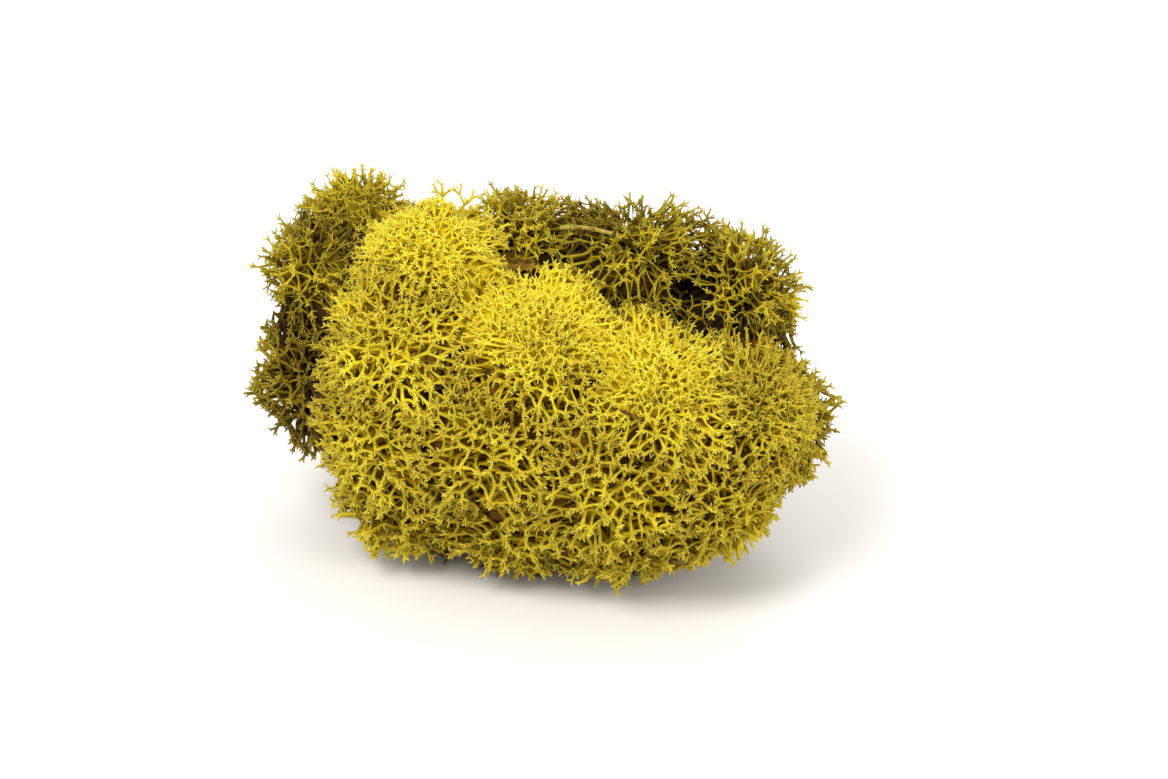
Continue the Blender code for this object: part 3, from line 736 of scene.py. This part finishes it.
    # an inner net carries the peaks, on spokes from the packed middle
    up, rims, knots, kept, tone, weave = shell(style["innerCell"], 0.2, style["innerDepth"], 0.35)
    rims = rims[kept[rims].all(axis=1)]
    first, second = rims.T
    a, b = knots[first], knots[second]
    dip = -unit(up[first] + up[second]) * 0.5 * np.linalg.norm(b - a, axis=1, keepdims=True)
    t = np.abs(np.linspace(-1.0, 1.0, 3))
    thick = column(between(style["rim"], weave[first])) * 1.4
    age = column(between(ages["innerNet"], weave[first]))
    bundle.paths(bowed(a, b, (b - a) + dip, (b - a) - dip, 3), thick * (1.0 + 0.5 * t), age - 0.08 * t,
                 column(tone[first]), prong=True)
    lower, lowerUp, lowerTone = knots[kept], up[kept], tone[kept]
    pick = rng.random(len(lower)) < 0.5
    root = centre + (lower[pick] - centre) * 0.6
    bundle.paths(np.stack([root, lower[pick]], axis=1), style["rim"][1] * np.array([2.0, 1.6]),
                 np.array(ages["spoke"]), column(lowerTone[pick]), prong=True)
    pick = np.flatnonzero(rng.random(len(top)) < style["links"])
    nearest = np.linalg.norm(top[pick][:, None] - lower[None], axis=2).argmin(axis=1)
    start, end = lower[nearest], top[pick]
    push = np.linalg.norm(end - start, axis=1, keepdims=True)
    leave = lowerUp[nearest] * push * 0.6 + (end - start) * 0.5
    lines = bowed(start, end, leave, topUp[pick] * push * 1.1, 3)
    bundle.paths(lines, rim[pick] * np.array([1.6, 1.25, 1.35]), np.array(ages["link"]),
                 column(topTone[pick]), prong=True)
    growThatch(bundle, index, style, own["tone"][0], rng)
    points, faces, ageWithShade = headMiddle(index, style)
    bundle.solid(points, faces, ageWithShade, toneAt(own, points))
    return bundle


def roundMesh(levels):
    bm = bmesh.new()
    bmesh.ops.create_icosphere(bm, subdivisions=levels, radius=1.0)
    points = np.array([vertex.co for vertex in bm.verts])
    faces = np.array([[vertex.index for vertex in face.verts] for face in bm.faces])
    bm.free()
    return points, faces


def middleReach(index, style, headings):
    # how far a head's packed middle reaches: it widens towards the mound that it is rooted in
    centre, radius = centres[index], radii[index]
    away = (centre - lobeCentres) / lobeSizes
    seats = lobeCentres + (centre - lobeCentres) / np.linalg.norm(away, axis=1, keepdims=True) - centre
    seat = seats[np.linalg.norm(seats, axis=1).argmin()]
    toMound = np.linalg.norm(seat)
    depth = between(style["middleDepth"], weaveAt(index, centre + headings * radius))
    ball = headings * radius
    rough = 0.32 * waves(ball, 3.2, index + 40) + 0.22 * waves(ball, 1.7, index + 41)
    reach = skinReach(index, headings) - depth + rough
    wide = smoothStep(0.35, 0.9, headings @ seat / toMound)
    reach = reach + wide * np.maximum(0.0, min(toMound + 3.0, 2.0 * radius) - reach)
    reach = np.clip(reach, 2.0, np.maximum(wallReach(index, headings) + 0.5, 2.0))
    for place, clear in clearings * drawRounds:
        gap = gapTo(place, centre + headings * reach[:, None])
        reach = np.maximum(reach - 0.7 * np.maximum(drawBack * clear - gap, 0.0), 2.0)
    return reach


def headMiddle(index, style):
    headings, faces = roundMesh(4)
    points = centres[index] + headings * middleReach(index, style, headings)[:, None]
    points[:, 2] = np.maximum(points[:, 2], middleFloor)
    outside = centres[index] + headings * radii[index]
    # the middle's age, younger where the weave is dense, with painted shade: older and darker in the creases
    # between heads, and darkest in and round the dark hollows
    ageWithShade = style["middleAge"] - 0.54 * (1.0 - weaveAt(index, outside)) ** 2
    ageWithShade = ageWithShade + 0.05 * waves(outside, 3.0, index + 60) + 0.3 * creases(outside)
    return points, faces, np.clip(np.maximum(ageWithShade, paintedHollowShade(points)), 0.0, 1.0)


def growThatch(bundle, index, style, tone, rng):
    # arched old stalks on the packed middle, with stubs between them
    headings, rims = cellNet(evenHeadings(style["thatch"], rng, 0.28))
    points = centres[index] + headings * (middleReach(index, style, headings) - 0.15)[:, None]
    skin = centres[index] + headings * skinReach(index, headings)[:, None]
    bare = (headGaps(points).min(axis=1) > -1.5) & (moundDistance(points) > -0.5)
    kept = ((openShare(skin) > 0.0) | bare) & (points[:, 2] > thatchFloor) & (pastWall(points, index) < 0.8)
    shake = rng.uniform(-ages["thatchShake"], ages["thatchShake"], len(points))
    age = between(ages["thatch"], weaveAt(index, skin)) + shake
    # painted shade: the thatch is darkest in and round the dark hollows
    age = column(np.maximum(age, paintedHollowShade(points)))
    first, second = rims[kept[rims].all(axis=1)].T
    a, b = points[first], points[second]
    rise = unit(headings[first] + headings[second]) * np.linalg.norm(b - a, axis=1, keepdims=True) * 1.5
    thick = rng.uniform(0.17, 0.28, (len(a), 1)) * np.array([1.3, 0.9, 1.3])
    bundle.paths(bowed(a, b, (b - a) + rise, (b - a) - rise, 3), thick,
                 age[first] * np.array([1.0, 0.9, 1.0]), tone)
    starts = points[kept]
    leaning = splay(headings[kept], 1, 5.0, 60.0, rng)[:, 0]
    ends = starts + leaning * rng.uniform(0.8, 2.2, (len(starts), 1))
    bundle.paths(np.stack([starts, ends], axis=1), np.array([[0.24, 0.13]]),
                 age[kept] * np.array([1.0, 0.82]), tone, prong=True)


# How a dead stalk forks, in rows as for an antler
stalkPlan = {"forks": (((0.2, 0.5), (18.0, 52.0), 3, (0.5, 0.48)),
                       ((1.2, 2.4), (15.0, 50.0), 3, (0.48, 0.36))),
             "steps": 2, "prongShare": 0.85, "prongLength": (0.8, 1.6)}


def growMound(rng):
    bundle = Bundle()
    ball, faces = roundMesh(5)
    wide, narrow = mound["rough"]
    for place, (middle, size) in enumerate(zip(lobeCentres, lobeSizes)):
        lobe = ball * size
        lumps = 0.95 + wide * waves(lobe, 7.0, place + 70) + narrow * waves(lobe, 2.6, place + 80)
        points = middle + lobe * column(lumps)
        points[:, 2] = np.maximum(points[:, 2], 0.0)
        bundle.solid(points, faces, 0.9, 0.4)

    # stubs all over it
    which = rng.integers(0, len(lobeSizes), mound["stubs"])
    outward = unit(rng.normal(size=(mound["stubs"], 3)))
    starts = lobeCentres[which] + outward * lobeSizes[which] * 0.97
    kept = (moundDistance(starts + outward) > 0.0) & (starts[:, 2] > 2.0)
    kept &= headGaps(starts).min(axis=1) > -5.0
    starts, outward = starts[kept], outward[kept]
    leaning = splay(outward, 1, 0.0, 50.0, rng)[:, 0]
    ends = starts + leaning * rng.uniform(*mound["stubLength"], (len(starts), 1))
    ends[:, 2] = np.maximum(ends[:, 2], 1.0)
    push = ends - starts
    lines = bowed(starts, ends, push, push + rng.normal(size=push.shape) * 1.2, 3)
    bundle.paths(lines, np.array([[0.40, 0.30, 0.18]]), np.array([[0.9, 0.7, 0.45]]),
                 column(rng.uniform(0.1, 0.7, len(starts))))

    def stalks(lines, push, thick, age, tone):
        # stalks that fork at their ends
        bundle.paths(lines, thick, np.array(age), column(tone))
        forkThick = np.full((len(lines), 1), mound["stalkRadius"] * mound["forkRadius"])
        growForks(bundle, lines[:, -1], unit(push), stalkPlan, forkThick, tone, rng)

    # stalks that lean out of the mound into the gaps between the heads, to chance spots where two rooms meet:
    # there the two least powers are nearly alike
    tries = 9000
    spots = rng.uniform((-46.0, -24.0, 3.0), (46.0, 24.0, 60.0), (tries, 3))
    skin = skinDistance(spots)
    power = np.linalg.norm(spots[:, None] - centres[None], axis=2) ** 2 - radii**2
    ranked = np.sort(power, axis=1)
    crease = ranked[:, 1] - ranked[:, 0] < 55.0
    least, most = mound["stalkDepth"]
    good = crease & (skin < -least) & (skin > -most) & (moundDistance(spots) > 1.5)
    ends = spots[good][:mound["stalks"]]
    within = (ends[:, None] - lobeCentres[None]) / lobeSizes
    scale = np.linalg.norm(within, axis=2)
    near = scale.argmin(axis=1)
    rows = np.arange(len(ends))
    feet = lobeCentres[near] + (ends - lobeCentres[near]) / scale[rows, near][:, None] * 0.95
    push = ends - feet
    bend = rng.normal(size=push.shape) * np.linalg.norm(push, axis=1, keepdims=True) * 0.25
    lines = bowed(feet, ends, push + bend, push - bend, 5)
    thick = mound["stalkRadius"] * rng.uniform(0.8, 1.2, (len(ends), 1))
    thick = thick * np.array([1.4, 1.15, 1.0, 0.9, 0.85])
    stalks(lines, push, thick, (0.95, 0.8, 0.68, 0.58, 0.5), rng.uniform(0.2, 0.9, len(ends)))

    # a ring of stalks between the floor and the lowest heads
    many = mound["footStalks"]
    turn = np.arange(many) * math.tau / many + rng.uniform(-0.05, 0.05, many)
    outward = np.stack([np.cos(turn), np.sin(turn), np.zeros_like(turn)], axis=1)
    height = rng.uniform(*mound["footHeight"], many)
    share = np.sqrt(1.0 - ((height - lobeCentres[0, 2]) / lobeSizes[0, 2]) ** 2)
    feet = lobeCentres[0] + outward * lobeSizes[0] * share[:, None] * 0.96
    feet[:, 2] = height
    reach = rng.uniform(*mound["footLength"], (many, 1))
    ends = feet + outward * reach + rng.normal(size=feet.shape) * 0.8
    ends[:, 2] = np.clip(ends[:, 2], 1.0, 4.4)
    push = ends - feet
    thick = mound["stalkRadius"] * np.array([1.4, 1.1, 0.95, 0.85])
    stalks(bowed(feet, ends, push, push, 4), push, thick, (0.95, 0.8, 0.68, 0.6), rng.uniform(0.1, 0.7, many))
    return bundle


# The stem and the twig in the tips: middle line and radius in mm, where along it the knots are, and the age
litter = {
    "litter_stem": {"line": ((0.6, 4.5, 56.4), (4.0, 3.6, 57.3), (9.8, 2.0, 57.5)), "radius": 0.40,
                    "knots": (0.22, 0.64), "finish": "straw", "age": 0.35},
    "litter_twig": {"line": ((8.0, -22.5, 37.2), (12.0, -25.2, 38.8), (15.4, -26.6, 39.4),
                             (20.0, -28.0, 38.6)),
                    "radius": 0.26, "knots": (0.15, 0.42, 0.78), "finish": "bark", "age": 0.60},
}


def growLitter(own):
    # a rounded stem with knots, rough along its length, cut off square at its end
    bundle = Bundle()
    line = np.array(own["line"]) + stand
    along = np.linspace(0.0, 1.0, 40)
    spans = np.linalg.norm(np.diff(line, axis=0), axis=1)
    stops = np.concatenate([[0.0], np.cumsum(spans)]) / spans.sum()
    slopes = np.gradient(line, stops, axis=0)
    place = np.clip(np.searchsorted(stops, along, side="right") - 1, 0, len(stops) - 2)
    width = column(stops[place + 1] - stops[place])
    fine = 100
    arcs = bowed(line[place], line[place + 1], slopes[place] * width, slopes[place + 1] * width, fine + 1)
    share = (along - stops[place]) / width[:, 0]
    points = arcs[np.arange(len(along)), np.round(fine * share).astype(int)]
    knots = sum(np.exp(-((along - knot) / 0.018) ** 2) for knot in own["knots"])
    rough = waves(points, 1.1, 31)
    thick = own["radius"] * (1.0 + 0.28 * knots + 0.05 * rough - 0.12 * along)
    age = np.clip(own["age"] + 0.12 * rough + 0.35 * knots + 0.5 * smoothStep(0.94, 1.0, along), 0.0, 1.0)
    bundle.paths(points[None], thick[None], age[None], 0.5 + 0.2 * waves(points, 0.7, 32)[None])
    return bundle


# The scrap of leaf: its middle, half sizes, half thickness, bend and turn in degrees, and the thread over it
leaf = {"at": (-6.6, -2.3, 51.8), "halfSize": (4.0, 2.1), "thick": 0.13, "bend": 0.06,
        "turn": (20.0, 6.0, 12.0), "threadRadius": 0.17}


def growLeaf():
    # a thin curled scrap with a midrib and side veins, and a dry thread over it
    bundle = Bundle()
    long, wide = leaf["halfSize"]
    across, down = np.meshgrid(np.linspace(-1.0, 1.0, 25), np.linspace(-1.0, 1.0, 49))
    ragged = 1.0 + 0.10 * np.sin(down * 21.0) + 0.06 * np.sin(down * 47.0 + 1.0)
    x = down * long
    y = across * wide * np.sqrt(np.maximum(1.0 - down**2, 0.0) + 0.004) * ragged
    sideVein = np.sin((down - np.abs(across) * 0.28) * 15.0)
    vein = np.exp(-(across / 0.07) ** 2) + 0.6 * np.exp(-(sideVein / 0.22) ** 2)
    lift = leaf["bend"] * x**2 + 0.35 * across**2 * (1.0 + 0.5 * np.sin(down * 5.0)) + 0.06 * vein
    thick = leaf["thick"] * (1.0 - np.maximum(np.abs(across), np.abs(down)) ** 6)
    sheets = [np.stack([x, y, lift + side * thick], axis=-1).reshape(-1, 3) for side in (1.0, -1.0)]
    rows, columns = x.shape
    index = np.arange(rows * columns).reshape(rows, columns)
    a, b, c, d = (part.ravel() for part in (index[:-1, :-1], index[:-1, 1:], index[1:, 1:], index[1:, :-1]))
    top = np.concatenate([np.stack([a, b, c], axis=1), np.stack([a, c, d], axis=1)])
    faces = np.concatenate([top[:, ::-1], top + rows * columns])
    turnX, turnY, turnZ = (Matrix.Rotation(math.radians(angle), 3, axis)
                           for angle, axis in zip(leaf["turn"], "XYZ"))
    tilt = np.array(turnZ @ turnY @ turnX)
    points = np.concatenate(sheets) @ tilt.T + np.array(leaf["at"]) + stand
    blotch = waves(points, 2.4, 33)
    age = np.clip(0.30 - 0.25 * np.tile(vein.ravel(), 2) + 0.16 * blotch, 0.0, 1.0)
    bundle.solid(points, faces, age, 0.55 + 0.2 * waves(points, 5.0, 34))
    arch = np.linspace(-1.0, 1.0, 25)
    thread = np.stack([arch * long * 1.05, 0.9 * arch**2 - 0.3, 1.5 - 1.2 * arch**2], axis=1) @ tilt.T
    bundle.paths((thread + np.array(leaf["at"]) + stand)[None], leaf["threadRadius"],
                 0.6 + 0.1 * waves(thread, 1.5, 35)[None], 0.6)
    return bundle


# Camera and light, in metres
studio = {
    "cameraPlace": (0.056575, -0.428265, 0.250684),
    "cameraRight": (0.98869, 0.14133, 0.05023),
    "cameraUp": (-0.10902, 0.44706, 0.88784),
    "lens": 86.78,
    "floorSize": 4.0,
    "floorColour": (0.80, 0.79, 0.77),
    "floorRoughness": 0.9,
    "skyColour": (1.0, 0.985, 0.96),
    "skyStrength": 0.77,
    # place, target, size, watts, colour
    "lamps": {
        "keyLamp": ((-0.28, -0.42, 0.62), (0.0, 0.0, 0.03), 0.40, 4.65, (1.0, 0.98, 0.95)),
        "fillLamp": ((0.55, -0.35, 0.34), (0.0, 0.0, 0.03), 0.50, 2.2, (1.0, 0.99, 0.97)),
        "backLamp": ((0.10, 0.55, 0.48), (0.0, 0.0, 0.03), 0.45, 2.2, (1.0, 0.98, 0.95)),
    },
}


def aim(place, target):
    turn = (Vector(target) - Vector(place)).to_track_quat("-Z", "Y")
    return Matrix.Translation(place) @ turn.to_matrix().to_4x4()


def setStudio():
    cameraData = bpy.data.cameras.new("studioCamera")
    cameraData.lens = studio["lens"]
    cameraData.sensor_width = 36.0
    cameraData.clip_start, cameraData.clip_end = 0.01, 20.0
    camera = bpy.data.objects.new("studioCamera", cameraData)
    bpy.context.scene.collection.objects.link(camera)
    right, up = Vector(studio["cameraRight"]).normalized(), Vector(studio["cameraUp"])
    back = right.cross(up).normalized()
    up = back.cross(right)
    turn = Matrix((right, up, back)).transposed().to_4x4()
    camera.matrix_world = Matrix.Translation(studio["cameraPlace"]) @ turn
    bpy.context.scene.camera = camera
    for name, (place, target, size, watts, colour) in studio["lamps"].items():
        lampData = bpy.data.lights.new(name, "AREA")
        lampData.shape = "DISK"
        lampData.size, lampData.energy, lampData.color = size, watts, colour
        lamp = bpy.data.objects.new(name, lampData)
        lamp.matrix_world = aim(place, target)
        bpy.context.scene.collection.objects.link(lamp)
    world = bpy.data.worlds.new("studioSky")
    bpy.context.scene.world = world
    world.use_nodes = True
    sky = world.node_tree.nodes["Background"]
    sky.inputs["Color"].default_value = (*studio["skyColour"], 1.0)
    sky.inputs["Strength"].default_value = studio["skyStrength"]
    bpy.context.scene.view_settings.view_transform = "Standard"
    bm = bmesh.new()
    bmesh.ops.create_grid(bm, x_segments=8, y_segments=8, size=studio["floorSize"] / 2.0)
    floorMesh = bpy.data.meshes.new("studioFloor")
    bm.to_mesh(floorMesh)
    bm.free()
    floor = bpy.data.objects.new("studioFloor", floorMesh)
    bpy.context.scene.collection.objects.link(floor)
    paint = bpy.data.materials.new("studioFloor")
    paint.use_nodes = True
    shader = paint.node_tree.nodes["Principled BSDF"]
    shader.inputs["Base Color"].default_value = (*studio["floorColour"], 1.0)
    shader.inputs["Roughness"].default_value = studio["floorRoughness"]
    floorMesh.materials.append(paint)


def finishPiece(bundle, name, node, finish, branchSides):
    # the piece that stands in for a node of the frame, and how many triangles it has
    piece = sweptPiece(bundle, name, finishes[finish], branchSides=branchSides)
    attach(piece, "root")
    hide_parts(node)
    "moss_" + finish
    triangles = sum(len(face.vertices) - 2 for face in piece.data.polygons)
    report(f"{name}: {triangles} triangles")
    return triangles


branchSweep = sweepTree()
finishes = {
    "bright": mossFinish("brightMoss", brightYellow, dullYellow, 0.62),
    "gold": mossFinish("goldMoss", brightYellow, dullYellow, 0.64),
    "olive": mossFinish("shadedOliveMoss", brightOlive, dullOlive, 0.68),
    "dead": mossFinish("deadStalks", deadBrown, deadDark, 0.75),
    "straw": mossFinish("strawStem", strawPale, strawDull, 0.5),
    "bark": mossFinish("brownBark", barkPale, barkDull, 0.7),
}
report(f"{len(finishes)} finishes are mixed")
setStudio()
report("studio is set")

headSeed, moundSeed = 300, 11
total = 0
for number, name in enumerate(headNames):
    own = heads[name]
    grown = growHead(name, np.random.default_rng(headSeed + number))
    total += finishPiece(grown, name + "_branches", name, own["finish"], mossStyles[own["style"]]["sides"])
grown = growMound(np.random.default_rng(moundSeed))
total += finishPiece(grown, "dead_stalk_tangle", "dead_stalk_mound", "dead", branchSides=4)
for name, own in litter.items():
    total += finishPiece(growLitter(own), name + "_piece", name, own["finish"], branchSides=10)
total += finishPiece(growLeaf(), "litter_leaf_piece", "litter_leaf", "bark", branchSides=6)
report(f"{total} triangles in all")
